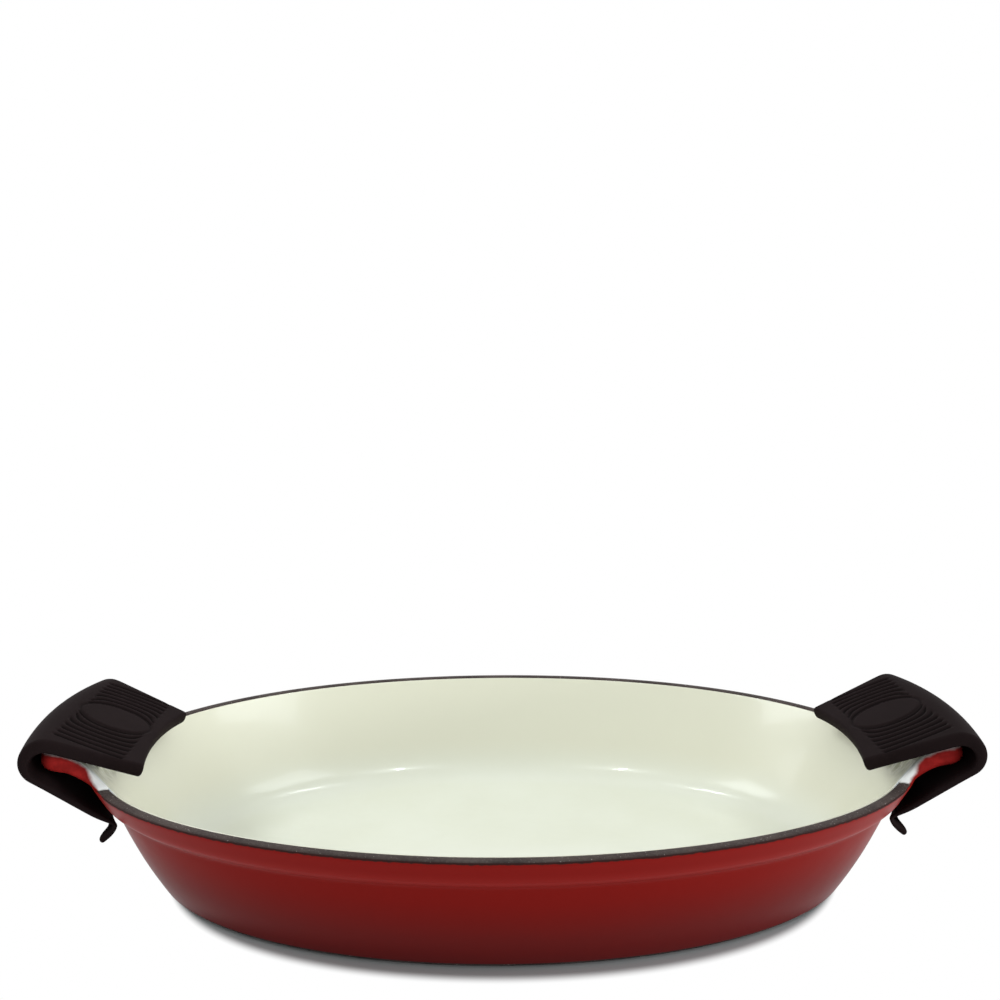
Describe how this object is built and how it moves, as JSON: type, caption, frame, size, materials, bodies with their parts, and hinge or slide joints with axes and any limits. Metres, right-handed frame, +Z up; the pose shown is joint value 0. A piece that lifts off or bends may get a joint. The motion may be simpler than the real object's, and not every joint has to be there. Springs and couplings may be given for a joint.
{
  "type": "enamelled cast iron roasting dish",
  "caption": "Oval enamelled cast iron roasting dish with a bare iron rim, integral end handles and slip-on silicone handle grips that slide off outwards.",
  "frame": {"origin": "centre of the flat base that the dish stands on", "axes": "+Z up, +X along the dish from handle to handle, +Y across the dish"},
  "size_m": [0.3696, 0.2198, 0.0694],
  "materials": {
    "bare_iron": "matte, seasoned dark brown-black, slightly pitted",
    "cream_enamel": "gloss vitreous enamel",
    "red_enamel": "gloss vitreous enamel, bright red at the rim shading to dark burgundy at the base",
    "black_silicone": "matte"
  },
  "bodies": {
    "dish": {"cast_iron_body": "bare_iron", "interior_enamel": "cream_enamel", "exterior_enamel": "red_enamel"},
    "left_grip": {"left_grip": "black_silicone"},
    "right_grip": {"right_grip": "black_silicone"}
  },
  "joints": [
    {"name": "right_grip_slide", "type": "slide", "parent": "dish", "child": "right_grip", "axis": [0.9304, 0, 0.3665], "range_m": [0, 0.06]},
    {"name": "left_grip_slide", "type": "slide", "parent": "dish", "child": "left_grip", "axis": [-0.9304, 0, 0.3665], "range_m": [0, 0.06]}
  ]
}
